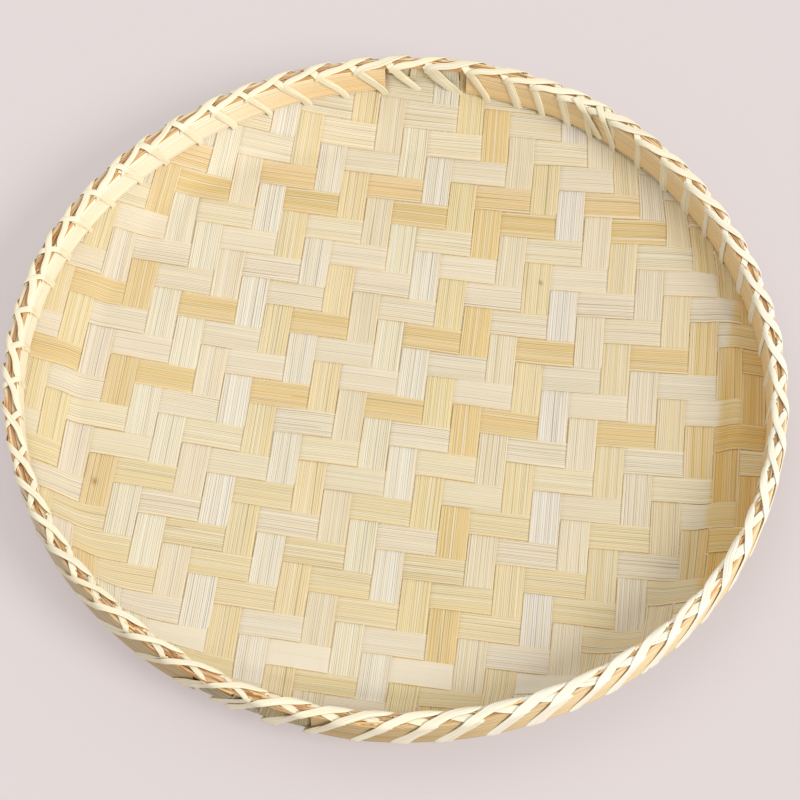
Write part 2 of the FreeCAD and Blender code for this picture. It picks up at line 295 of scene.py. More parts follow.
def outline(width_steps, crown, bevel):
    """Cross-section of a flat strip: (across from -1 to 1, side, drop) for each corner."""
    top = [-1.0, -0.955] + list(np.linspace(-0.8, 0.8, width_steps)) + [0.955, 1.0]
    drops = [bevel, 0.25 * bevel] + [0.0] * width_steps + [0.25 * bevel, bevel]
    section = [(x, 1, drop + crown * x * x) for x, drop in zip(top, drops)]
    section += [(x, -1, -drop * 0.8 + crown * x * x) for x, drop in zip(top[::-1], drops[::-1])]
    return np.array(section)


# ---- Tones of the bamboo ---------------------------------------------------------
def srgb(red, green, blue):
    """Linear colour from the 0 to 255 values that a screen shows."""
    values = np.array([red, green, blue]) / 255.0
    return np.where(values <= 0.04045, values / 12.92, ((values + 0.055) / 1.055) ** 2.4)


# Each tone: colour, how strong its fibre lines are, how yellow its edges are.
TONES = {
    "w": (srgb(246, 243, 228), 0.82, 0.35),  # whitish, strongest lines
    "c": (srgb(244, 236, 211), 0.7, 0.5),    # cream
    "p": (srgb(243, 235, 211), 0.5, 0.4),    # pale beige
    "y": (srgb(243, 230, 188), 0.7, 0.6),    # yellow
    "g": (srgb(240, 218, 162), 0.75, 0.6),   # golden
    "s": (srgb(246, 240, 218), 0.1, 0.6),    # smooth and pale
}
# One letter per strip, in the order of the strips' numbers.
STRIP_TONES = {
    "warp": "yycgwwcwywycwwygcywcycygggy",
    "weft": "ccyspyyycypccgppgccpcggpccc",
}


PAINTED_WALL_GLOW = np.array([0.98, 0.84, 0.50])    # painted glow and shade: the strips are tinted golden up the right wall, which is backlit and in shade
WALL_START = 162.0
WALL_FADE = 4.0
OUTSIDE_START = HOOP_BOTTOM - 4.0
OUTSIDE_FADE = 3.0


# Small dark knots: kind and index of a strip, millimetres across and along it, radius.
KNOTS = (("warp", 3, -1.9, -68.5, 1.5), ("weft", 19, 1.0, 62.0, 0.8), ("warp", 17, 2.0, 88.0, 0.9))
KNOT_BROWN = np.array([0.55, 0.38, 0.20])


def knotted(kind, number, across, along, tint):
    """Strip's tint with a darker spot where it has a knot."""
    for knot_kind, strip, side, place, size in KNOTS:
        if (knot_kind, strip) == (kind, number):
            away = np.hypot(across - side, (along - place) / 1.3) / size
            spot = np.exp(-away * away)[..., None]
            tint = tint * (1 + (KNOT_BROWN - 1) * spot)
    return tint


def strip_tone(kind, number, seed):
    colour, contrast, edge = TONES[STRIP_TONES[kind][number]]
    colour = colour * (1 + seed.normal(0, 0.012)) * (1 + np.array([0, 0, 1]) * seed.normal(0, 0.03))
    return colour, np.array([contrast, seed.uniform(0, 1), edge])


# ---- Woven strips ------------------------------------------------------------------
def over(kind, number, crossing):
    warp, weft = (number, crossing) if kind == "warp" else (crossing, number)
    weft_is_above = (warp + weft) % 4 in (1, 2)
    above = weft_is_above if kind == "weft" else not weft_is_above
    return 1.0 if above else -1.0


def crossings(kind, place):
    """Which crossing strip a place along a strip is at, and how far into its cell."""
    other = "weft" if kind == "warp" else "warp"
    cell = (place - FIRST_CENTRE[other]) / PITCH[other] + 0.5
    index = np.floor(cell).astype(int)
    return index, (cell - index) * PITCH[other], PITCH[other]


def along_cells(kind, place, values):
    """Values held over the crossings, with smooth slopes half a ramp each side of a boundary."""
    index, within, pitch = crossings(kind, place)

    def value(step):
        return np.array([values[key] for key in step.ravel()]).reshape(step.shape)

    here, before, after = value(index), value(index - 1), value(index + 1)
    rise = smoothstep(0.5 + within / (2 * RAMP))
    fall = smoothstep(0.5 + (pitch - within) / (2 * RAMP))
    return before + (here - before) * rise + (after - here) * (1 - fall)


def strip_lift(kind, number, place, across):
    """Height of a strip's middle surface above the mat's middle."""
    steps = range(-4, STRIP_COUNT + 4)
    state = {k: over(kind, number, k) for k in steps}
    lift = along_cells(kind, place, state)
    for side in (-1, 1):
        edge = {
            k: state[k] if over(kind, number + side, k) != state[k] else 0.0 for k in steps
        }
        inwards = PITCH[kind] / 2 - side * across
        reach = 1 - smoothstep(inwards / EDGE_RAMP)
        lift = lift + along_cells(kind, place, edge) * reach
    arch = along_cells(kind, place, state) * float_bulge(kind, number, place)
    return LAYER * lift + FLOAT_ARCH * arch


def float_bulge(kind, number, place):
    """1 in the middle of every two-crossing float, 0 at its ends."""
    index, within, pitch = crossings(kind, place)
    start = next(k for k in range(8) if over(kind, number, k) != over(kind, number, k - 1))
    phase = ((index + within / pitch - start) % 2.0) / 2.0
    return np.sin(math.pi * phase) ** 2


REACH_PASSES = 8


def strip_limit(kind, across, side):
    """How far a line of a strip runs to one side before the trimmed edge."""
    reach = np.full_like(across, BAND_RADIUS)
    for _ in range(REACH_PASSES):
        p, y = (across, side * reach) if kind == "warp" else (side * reach, across)
        x = weave_x(p, y)
        run = trimmed_run(np.arctan2(y, x))
        other = x if kind == "warp" else y
        reach = np.sqrt(np.maximum(run * run - other * other, 1.0))
        if kind == "weft":
            reach = (reach - side * WARP_LEAN * y) / (1 + WARP_CONVERGENCE * y)
    return reach


def woven_strip(kind, number, material):
    seed = rng(1 if kind == "warp" else 2, number)
    section = outline(7, -0.05, 0.10)
    centre = FIRST_CENTRE[kind] + number * PITCH[kind] + seed.normal(0, 0.10)
    width = PITCH[kind] - STRIP_GAP + seed.normal(0, 0.10)
    limits = {}
    lines = centre + section[:, 0] * width / 2
    for side in (-1, 1):
        limits[side] = strip_limit(kind, lines, side)
    low, high = -limits[-1].mean(), limits[1].mean()
    steps = int((high - low) / STRIP_STEP)
    place = np.linspace(low, high, steps)[:, None] + 0.0 * section[None, :, 0]
    for side, end in ((-1, low), (1, high)):
        part = np.clip(1 - (end - place) * side / TRIM_STRETCH, 0, None)
        place = place + side * part * (limits[side][None, :] - abs(end))
    wander = ripple(seed, place[:, :1], (190, 90, 47), (0.10, 0.07, 0.04))
    narrowing = ripple(seed, place[:, :1], (120, 61, 23), (0.07, 0.05, 0.03))
    across = wander + section[None, :, 0] * (width + narrowing) / 2
    lift = strip_lift(kind, number, place, across)
    lift = lift + section[None, :, 1] * STRIP_THICKNESS / 2 - section[None, :, 2]
    lift = lift + ripple(seed, place, (70, 33), (0.04, 0.03))
    tint, traits = strip_tone(kind, number, seed)
    tint = knotted(kind, number, across, place, tint + 0 * lift[..., None])
    uv = np.stack([0 * place + section[None, :, 0], place], -1)
    if kind == "warp":
        rings = mat_surface(centre + across, place, lift)
        rings, uv, tint = rings[:, ::-1], uv[:, ::-1], tint[:, ::-1]
    else:
        rings = mat_surface(place, centre + across, lift)
    # Painted glow and shade: the strips are tinted golden up the right wall.
    painted_glow = smoothstep((rings[..., 0] - WALL_START) / WALL_FADE)[..., None]
    tint = tint * (1 - painted_glow) + tint * PAINTED_WALL_GLOW * painted_glow
    # Painted shade: the strips' outside, up by the hoops, is darker and greyer on the near-left side.
    angle = np.arctan2(rings[..., 1], rings[..., 0])
    outside = smoothstep((rings[..., 2] - OUTSIDE_START) / OUTSIDE_FADE)[..., None]
    tint = tint * (1 + (painted_shade_factor(angle) - 1) * outside)
    name = "%s_%02d" % (kind, number + 1)
    made = add_object(name + "_woven", [loop_mesh(rings, uv, tint, traits)], material)
    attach(made, "root")
    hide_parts(name)


# ---- Rim -----------------------------------------------------------------------------
def rim_points(angle, radius, height):
    radius = radius + rim_offset(angle)
    return np.stack([radius * np.cos(angle), radius * np.sin(angle), height + 0 * radius], -1)


LIT_SIDE = 178.0           # degrees; painted light: the hoops are paler on this brightly lit side
PAINTED_LIGHT_HOOP = srgb(251, 242, 226)
SHADED_SIDE = 250.0      # degrees; painted shade: the outside is darker and greyer here
PAINTED_SHADE_COLOUR = np.array([0.60, 0.55, 0.42])


def painted_shade_factor(angle):
    """Colour factor for painted shade on the outside of the rim: 1 but for the shaded part."""
    amount = smoothstep(2.4 * np.cos(angle - math.radians(SHADED_SIDE)) - 1.2)[..., None]
    return 1 + (PAINTED_SHADE_COLOUR - 1) * amount


SCARF = 24.0                # length over which a hoop's ends taper
HOOP_STEPS = 520


def hoop(ends, radii, bottom, top, lean, seed, tint, traits, painted_light=0.0, painted_shade=False):
    """A split bamboo band bent into a ring whose ends taper and don't quite meet."""
    angle = np.radians(np.linspace(ends[0], ends[1], HOOP_STEPS))[:, None]
    length = angle * BAND_RADIUS
    near_end = np.minimum(length - length[0], length[-1] - length)
    taper = 0.45 + 0.55 * smoothstep(near_end / SCARF)
    middle, half = (radii[0] + radii[1]) / 2, (radii[1] - radii[0]) / 2 * taper
    middle = middle + ripple(seed, length, (230, 110), (0.12, 0.08))
    mid_z = (bottom + top) / 2 + ripple(seed, length, (260, 140, 60), (0.25, 0.18, 0.06))
    half_z = (top - bottom) / 2 + ripple(seed, length, (170, 75), (0.14, 0.08))
    corners = []
    for z_sign, r_sign in ((-1, 1), (1, 1), (1, -1), (-1, -1)):
        steps = [(1.0, 0.55), (0.97, 0.86), (0.9, 1.0)]
        pairs = [(z_sign * a, r_sign * b) for a, b in steps]
        if (z_sign, r_sign) in ((1, 1), (-1, -1)):
            corners += pairs[::-1]
        else:
            corners += pairs
        if (z_sign, r_sign) == (-1, 1):
            corners += [(-0.45, 1.06), (0.0, 1.08), (0.45, 1.06)]
        if (z_sign, r_sign) == (1, -1):
            corners += [(0.45, -1.0), (0.0, -1.0), (-0.45, -1.0)]
    section = np.array(corners)
    radius = middle + section[None, :, 1] * half
    height = mid_z + section[None, :, 0] * half_z
    radius = radius - lean * (top - height) / (top - bottom)
    rings = rim_points(angle + 0 * radius, radius, height)[:, ::-1]
    uv = np.stack([0 * radius + section[None, :, 0], length + 0 * radius], -1)[:, ::-1]
    # Painted light: the hoops are paler towards the lit side.
    pale = smoothstep(2 * np.cos(angle - math.radians(LIT_SIDE)) - 0.6)[..., None]
    tint = tint + (PAINTED_LIGHT_HOOP - tint) * pale * painted_light
    # Painted shade: the outer hoop is darker and greyer on the near-left side.
    if painted_shade:
        tint = tint * painted_shade_factor(angle)
    return loop_mesh(rings, uv, tint, traits)


FACE_HEIGHT = FILLER_TOP - HOOP_BOTTOM
RIM_WIDTH = OUTER_HOOP_RADII[1] - INNER_HOOP_RADII[0]
OVER_LENGTH = 2 * FACE_HEIGHT + RIM_WIDTH
STITCH = 2 * math.pi * BAND_RADIUS / STITCH_COUNT
EDGE_CORNER = 1.3           # how tightly the ribbon turns over the rim's edges
UNDER_CORNER = 0.9          # and in under the outer hoop


def over_the_rim(climb, stand_off):
    """Radius, height and facing after a climb up the outer face, over the top and down inside.

    A climb below 0 turns in under the outer hoop."""
    corner = EDGE_CORNER + np.maximum(stand_off, 0)
    quarter = corner * math.pi / 2
    outer = OUTER_HOOP_RADII[1] + stand_off
    inner = INNER_HOOP_RADII[0] - stand_off
    top = FILLER_TOP + stand_off
    width = outer - inner - 2 * corner
    face = OVER_LENGTH / 2 - quarter - width / 2
    a = climb - face
    b = a - quarter
    c = b - width
    turn_a = np.clip(a / corner, 0, math.pi / 2)
    turn_c = math.pi / 2 + np.clip(c / corner, 0, math.pi / 2)
    cases = [a <= 0, b <= 0, c <= 0, c <= quarter]
    radius = np.select(
        cases,
        [outer, outer - corner * (1 - np.cos(turn_a)), outer - corner - b,
         inner + corner * (1 + np.cos(turn_c))],
        inner,
    )
    height = np.select(
        cases,
        [top - corner + a, top - corner * (1 - np.sin(turn_a)), top,
         top - corner * (1 - np.sin(turn_c))],
        top - corner - (c - quarter),
    )
    facing = np.select(cases, [0 * a, turn_a, 0 * a + math.pi / 2, turn_c], math.pi)
    under = np.clip(-climb, 0, None)
    curl = np.clip(under / UNDER_CORNER, 0, math.pi / 2)
    inwards = np.clip(under - UNDER_CORNER * math.pi / 2, 0, None)
    radius = radius - UNDER_CORNER * (1 - np.cos(curl)) - inwards
    height = height + under - UNDER_CORNER * np.sin(curl)
    facing = facing - curl
    below = np.clip((HOOP_TOP - height) / (HOOP_TOP - HOOP_BOTTOM), 0, 1.3)
    radius = radius - np.where(climb > OVER_LENGTH / 2, INNER_HOOP_LEAN * below, 0)
    return radius, height, facing


GAP_SINK = 1.4              # how much closer a ribbon lies where a hoop leaves a gap
GAP_SINK_FADE = 8.0


def sunk_stand_off(angle, climb, stand_off):
    """Ribbon lies closer to the mat where a hoop leaves a gap under it."""
    below_edge = (np.abs(climb - OVER_LENGTH / 2) - RIM_WIDTH / 2) / 7.0
    ends_of_gap = np.where(
        climb < OVER_LENGTH / 2,
        hoop_gap(angle, OUTER_HOOP_ENDS, GAP_SINK_FADE),
        hoop_gap(angle, INNER_HOOP_ENDS, GAP_SINK_FADE),
    )
    return stand_off - GAP_SINK * ends_of_gap * smoothstep(below_edge)


def spline(poles, samples):
    """Points evenly spaced along the quadratic B-spline of some poles."""
    poles = np.array(poles, float)
    points = []
    middles = (poles[1:] + poles[:-1]) / 2
    starts = np.vstack([poles[:1], middles[1:-1]])
    ends = np.vstack([middles[1:-1], poles[-1:]])
    for start, control, end in zip(starts, poles[1:-1], ends):
        t = np.linspace(0, 1, 24, endpoint=False)[:, None]
        points.append((1 - t) ** 2 * start + 2 * t * (1 - t) * control + t * t * end)
    points = np.vstack(points + [poles[-1:]])
    gaps = np.r_[0, np.cumsum(np.linalg.norm(np.diff(points, axis=0), axis=1))]
    wanted = np.linspace(0, gaps[-1], samples)
    return np.stack([np.interp(wanted, gaps, points[:, i]) for i in range(points.shape[1])], -1)


def ribbon(start, route, width, seed, tint, traits, samples=48, thickness=0.4, crown=0.2):
    """A span of ribbon laid over the rim.

    The route's poles are (millimetres along the rim, climb, stand-off)."""
    path = spline(route, samples)
    tangent = np.gradient(path[:, :2], axis=0)
    tangent /= np.linalg.norm(tangent, axis=1, keepdims=True)
    sideways = np.stack([-tangent[:, 1], tangent[:, 0]], -1)
    section = outline(3, crown, thickness / 4)
    length = np.r_[0, np.cumsum(np.linalg.norm(np.diff(path[:, :2], axis=0), axis=1))]
    half = width / 2 * (1 + ripple(seed, length, (40, 17), (0.05, 0.04)))
    spot = path[:, None, :2] + sideways[:, None] * (section[None, :, 0:1] * half[:, None, None])
    angle = start + spot[..., 0] / BAND_RADIUS
    stand_off = sunk_stand_off(angle, spot[..., 1], path[:, 2][:, None])
    radius, height, facing = over_the_rim(spot[..., 1], stand_off)
    rings = rim_points(angle, radius, height)
    normal = np.stack(
        [np.cos(angle) * np.cos(facing), np.sin(angle) * np.cos(facing), np.sin(facing)], -1
    )
    lift = section[None, :, 1] * thickness / 2 - section[None, :, 2]
    rings = rings + normal * lift[..., None]
    uv = np.stack([0 * angle + section[None, :, 0], length[:, None] + 0 * angle], -1)
    return loop_mesh(rings, uv, tint, traits)


# How the lacing was pulled at some places round the rim: degrees, ribbon width, how high
# it puffs up on top, how many stitches its outer legs lean, how many stitches the first
# course takes to cross the top, how far it lies above the second course there, and how
# many stitches the inner legs lean.
LACING_HABITS = (
    (0, 3.3, 0.9, 0.80, 0.80, 0.0, 0.10),
    (40, 3.6, 0.8, 0.80, 0.50, 0.0, 0.10),
    (60, 3.7, 0.8, 0.80, 0.35, 0.0, 0.15),
    (84, 3.8, 0.9, 0.80, 0.35, 0.0, 0.40),
    (93, 3.9, 0.9, 0.80, 0.35, 0.0, 0.75),
    (112, 3.8, 0.9, 0.80, 0.35, 0.3, 0.75),
    (135, 3.3, 1.1, 0.80, 0.25, 1.3, 0.50),
    (195, 3.3, 1.4, 0.90, 0.30, 1.3, 0.40),
    (215, 3.2, 1.6, 1.10, 0.82, 0.2, 0.40),
    (255, 3.1, 1.6, 1.05, 0.85, 0.0, 0.40),
    (275, 4.3, 1.1, 0.85, 1.00, 0.0, 0.30),
    (300, 4.7, 0.9, 0.80, 1.05, 0.0, 0.20),
    (340, 3.9, 0.8, 0.80, 1.00, 0.0, 0.10),
)
# Degrees by which the stitches have drifted from an even spacing, at some places.
STITCH_DRIFT = (
    (0, 3.9), (30, 5.0), (60, 3.3), (72, 0.3), (84, -2.6), (150, -2.4), (180, -2.8),
    (215, -1.6), (240, -0.9), (258, 1.8), (300, 2.7), (335, 3.2),
)


def around(table, degrees):
    """Values of a table's columns at an angle, straight between the places it gives."""
    places, *columns = zip(*table)
    return [np.interp(degrees, places, column, period=360) for column in columns]


RIM_TOP = OVER_LENGTH / 2
OUTER_EDGE = RIM_TOP - RIM_WIDTH / 2
INNER_EDGE = RIM_TOP + RIM_WIDTH / 2
ARCH_END = 1.16             # from where the second course crosses the outer edge to the inner one


def course_over(seed, puff, lean, crossing, above, inner_lean):
    """Second course: up the outer face, across to the inner edge, along it in an arch,
    over it, and folded back down the inner face. It dives inside at 0."""
    rise = -ARCH_END + seed.normal(0, 0.05)
    outer_hole = rise - lean + seed.normal(0, 0.04)
    inner_hole = -inner_lean + seed.normal(0, 0.03)
    leg_end = 3.4 - 1.6 * above + seed.uniform(-1.5, 1.5)
    puff = puff * seed.uniform(0.7, 1.3)
    outer_part = [
        (outer_hole + 0.14, -5.5, -0.8), (outer_hole + 0.04, -1.0, 0.0), (outer_hole + 0.1, 2.0, 0.4),
        (rise - 0.5 * lean, 0.45 * OUTER_EDGE, 0.8), (rise - 0.1, OUTER_EDGE - 1.5, 0.8 + 0.8 * puff),
        (rise + 0.25, RIM_TOP - 1.5, 0.8 + puff), (rise + 0.6, RIM_TOP + 2.0, 0.8 + puff),
        (-0.22, INNER_EDGE - 0.6, 0.9 + 0.8 * puff), (0.0, INNER_EDGE + 1.3, 0.9 + 0.3 * puff),
        (0.02, INNER_EDGE + 3.6, 0.7),
    ]
    inner_leg = [
        (0.06, INNER_EDGE - 1.4, 0.5), (-0.02, INNER_EDGE + 2.0, 0.55),
        (0.3 * inner_hole, INNER_EDGE + 7.0, 0.6), (inner_hole + 0.04, OVER_LENGTH - 0.5, 0.5),
        (inner_hole, OVER_LENGTH + leg_end, -0.3),
    ]
    return outer_part, inner_leg


def course_under(seed, puff, lean, crossing, above, inner_lean):
    """First course: up the inner face, across to the outer edge, over it, and folded
    back down the outer face. It comes up inside at 0."""
    crossing = crossing + seed.normal(0, 0.04)
    outer_hole = crossing - lean + seed.normal(0, 0.04)
    inner_part = [
        (-inner_lean, OVER_LENGTH + 1.5, -0.6), (0.04 - inner_lean, OVER_LENGTH - 1.0, 0.2),
        (-0.4 * inner_lean, INNER_EDGE + 7.0, 0.15 + 0.6 * above),
        (0.0, INNER_EDGE + 1.0, 0.3 + above),
        (0.2 * crossing, RIM_TOP + 2.2, 0.5 + 0.3 * puff + above),
        (0.55 * crossing, RIM_TOP - 0.5, 0.5 + 0.4 * puff + above),
        (crossing - 0.1, OUTER_EDGE + 1.0, 0.5 + above),
        (crossing, OUTER_EDGE - 2.6, 0.3 + 0.3 * puff),
    ]
    outer_leg = [
        (crossing + 0.05, OUTER_EDGE + 1.0, 0.2), (crossing - 0.1, OUTER_EDGE - 3.0, 0.2 + 0.3 * puff),
        (crossing - 0.6 * lean, 0.4 * OUTER_EDGE, 0.45), (outer_hole + 0.1, 1.0, 0.3),
        (outer_hole + 0.04, -1.0, -0.1), (outer_hole + 0.14, -5.0, -0.9),
    ]
    return inner_part, outer_leg


RIBBON_COLOUR = srgb(248, 240, 214)
LIT_RIBBON_SIDE = 345.0        # degrees; painted light: the ribbon is whiter on this side, where the key light falls
PAINTED_LIT_RIBBON = srgb(253, 249, 234)


def leg_share(course, habit):
    """The second course's inner leg is narrower where the first course hides it."""
    above = habit[3]
    return 1 - 0.4 * min(above, 1.0) if course is course_over else 1.0


def lacing(name, node, course, number, material):
    """One course of the lacing. Each stitch is a part over the rim and the leg it folds into."""
    parts = []
    for stitch in range(STITCH_COUNT):
        seed = rng(number, stitch)
        degrees = (stitch + seed.normal(0, 0.03)) * 360 / STITCH_COUNT
        degrees += around(STITCH_DRIFT, degrees)[0]
        width, *habit = around(LACING_HABITS, degrees)
        # Painted light: the ribbons are whiter towards the lit side.
        white = smoothstep(2 * math.cos(math.radians(degrees - LIT_RIBBON_SIDE)) - 0.6)
        tint = RIBBON_COLOUR + (PAINTED_LIT_RIBBON - RIBBON_COLOUR) * white
        tint = tint * (1 + seed.normal(0, 0.02))
        traits = np.array([seed.uniform(0.3, 0.8), seed.uniform(0, 1), seed.uniform(0.2, 0.7)])
        width = width * np.clip(seed.normal(1.0, 0.07), 0.86, 1.14)
        over_rim, leg = course(seed, *habit)
        for route, share in ((over_rim, 1.0), (leg, leg_share(course, habit))):
            route = [(along * STITCH, climb, lift) for along, climb, lift in route]
            parts.append(ribbon(math.radians(degrees), route, width * share, seed, tint, traits))
    made = add_object(name, parts, material)
    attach(made, "root")
    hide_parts(node)


def lacing_tail(material):
    """The ribbon's two cut ends, tucked up behind the inner legs."""
    seed = rng(50)
    parts = []
    for start, lean, rise in ((62.0, 9.0, 4.0), (64.5, 14.0, 2.0)):
        route = [
            (0.0, OVER_LENGTH - 1.0, 0.6), (lean * 0.3, OVER_LENGTH - 6.0, 1.4),
            (lean * 0.7, INNER_EDGE + 5.0, 2.2), (lean, INNER_EDGE + 1.0, 2.6),
            (lean + 5.0, INNER_EDGE - rise, 2.4),
        ]
        tail_traits = np.array([0.5, 0.4, 0.4])
        parts.append(
            ribbon(math.radians(start), route, 3.6, seed, RIBBON_COLOUR * 0.97, tail_traits)
        )
    made = add_object("lacing_tail_tucked", parts, material)
    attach(made, "root")
    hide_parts("lacing_tail")


SPLIT_COLOURS = (srgb(216, 164, 100), srgb(228, 190, 130), srgb(188, 128, 68), srgb(222, 180, 120))
SPLINTER_COUNT = 190


def splinters():
    """Short loose fibres that lie on the filler and stick out between the ribbons."""
    parts = []
    for number in range(SPLINTER_COUNT):
        seed = rng(90, number)
        start = seed.uniform(0, 2 * math.pi)
        if number % 3 == 0:
            start = math.radians(seed.uniform(225, 275))
        length, side = seed.uniform(8, 30), seed.uniform(-3.6, 3.8)
        drift = seed.normal(0, 0.9, 2)
        low, high = seed.uniform(0.1, 0.5), seed.uniform(0.3, 1.2)
        route = [
            (0.0, RIM_TOP + side, low), (0.35 * length, RIM_TOP + side + drift[0], high),
            (0.7 * length, RIM_TOP + side + drift[0], high),
            (length, RIM_TOP + side + drift[1], low + seed.uniform(-0.1, 0.6)),
        ]
        tint = SPLIT_COLOURS[number % 4] * seed.uniform(0.8, 1.25)
        traits = np.array([0.6, seed.uniform(0, 1), 0.3])
        width = seed.uniform(0.35, 1.0)
        parts.append(ribbon(start, route, width, seed, tint, traits, 14, 0.25, 0.0))
    return parts


def hoops_and_filler(hoop_material, filler_material):
    for name, ends, radii, lean, number, colour in (
        ("inner_hoop", INNER_HOOP_ENDS, INNER_HOOP_RADII, INNER_HOOP_LEAN, 61, srgb(239, 210, 161)),
        ("outer_hoop", OUTER_HOOP_ENDS, OUTER_HOOP_RADII, 0.0, 62, srgb(240, 216, 170)),
    ):
        seed = rng(number)
        traits = np.array([0.6, seed.uniform(0, 1), 0.4])
        part = hoop(
            ends, radii, HOOP_BOTTOM, HOOP_TOP, lean, seed, colour, traits,
            painted_light=0.8, painted_shade=name == "outer_hoop",
        )
        made = add_object(name + "_band", [part], hoop_material)
        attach(made, "root")
        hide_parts(name)
    parts = []
    room = (OUTER_HOOP_RADII[1] - INNER_HOOP_RADII[0] - 0.6) / len(SPLIT_COLOURS)
    for split, colour in enumerate(SPLIT_COLOURS):
        seed = rng(70, split)
        inside = INNER_HOOP_RADII[0] + 0.3 + split * room
        begin = 70.0 + 13.0 * split
        drop = 0.1 * (split % 2)
        traits = np.array([0.9, seed.uniform(0, 1), 0.5])
        parts.append(
            hoop((begin, begin + 356.0), (inside, inside + room - 0.15),
                 FILLER_TOP - 1.15 - 2.5 * drop, FILLER_TOP - drop, 0.0, seed, colour, traits)
        )
    made = add_object("rim_filler_splits", parts + splinters(), filler_material)
    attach(made, "root")
    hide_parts("rim_filler")


# ---- Materials ---------------------------------------------------------------------
class Nodes:
    """Short helpers for building a node tree."""

    def __init__(self, name):
        self.material = bpy.data.materials.new(name)
        self.material.use_nodes = True
        self.tree = self.material.node_tree
        self.tree.nodes.clear()

    def add(self, kind, **settings):
        node = self.tree.nodes.new(kind)
        for key, value in settings.items():
            setattr(node, key, value)
        return node

    def link(self, source, target):
        self.tree.links.new(source, target)

    def feed(self, socket, value):
        if isinstance(value, bpy.types.NodeSocket):
            self.link(value, socket)
        else:
            socket.default_value = value

    def math(self, operation, *values):
        node = self.add("ShaderNodeMath", operation=operation)
        for socket, value in zip(node.inputs, values):
            self.feed(socket, value)
        return node.outputs[0]

    def mix(self, factor, first, second, blend="MIX"):
        node = self.add("ShaderNodeMix", data_type="RGBA", blend_type=blend)
        self.feed(node.inputs[0], factor)
        self.feed(node.inputs[6], first)
        self.feed(node.inputs[7], second)
        return node.outputs[2]

    def ramp(self, value, stops):
        node = self.add("ShaderNodeValToRGB")
        self.link(value, node.inputs[0])
        elements = node.color_ramp.elements
        while len(elements) < len(stops):
            elements.new(0.5)
        for element, (place, shade) in zip(elements, stops):
            element.position = place
            element.color = (shade, shade, shade, 1)
        return node.outputs[0]

    def noise(self, vector, scale, detail=2.0, roughness=0.5):
        node = self.add("ShaderNodeTexNoise", noise_dimensions="3D")
        self.link(vector, node.inputs["Vector"])
        node.inputs["Scale"].default_value = scale
        node.inputs["Detail"].default_value = detail
        node.inputs["Roughness"].default_value = roughness
        return node.outputs["Fac"]


STRAND_WIDTH = 1.0
LINE_BROWN = (0.30, 0.20, 0.10, 1)
PALE_STRAND = (0.96, 0.93, 0.82, 1)
WARM_STRAND = (0.965, 0.90, 0.76, 1)
FLECK_BROWN = (0.74, 0.60, 0.42, 1)
EDGE_GOLD = (0.94, 0.82, 0.50, 1)
LIGHT_THROUGH = (1.0, 0.76, 0.40, 1)


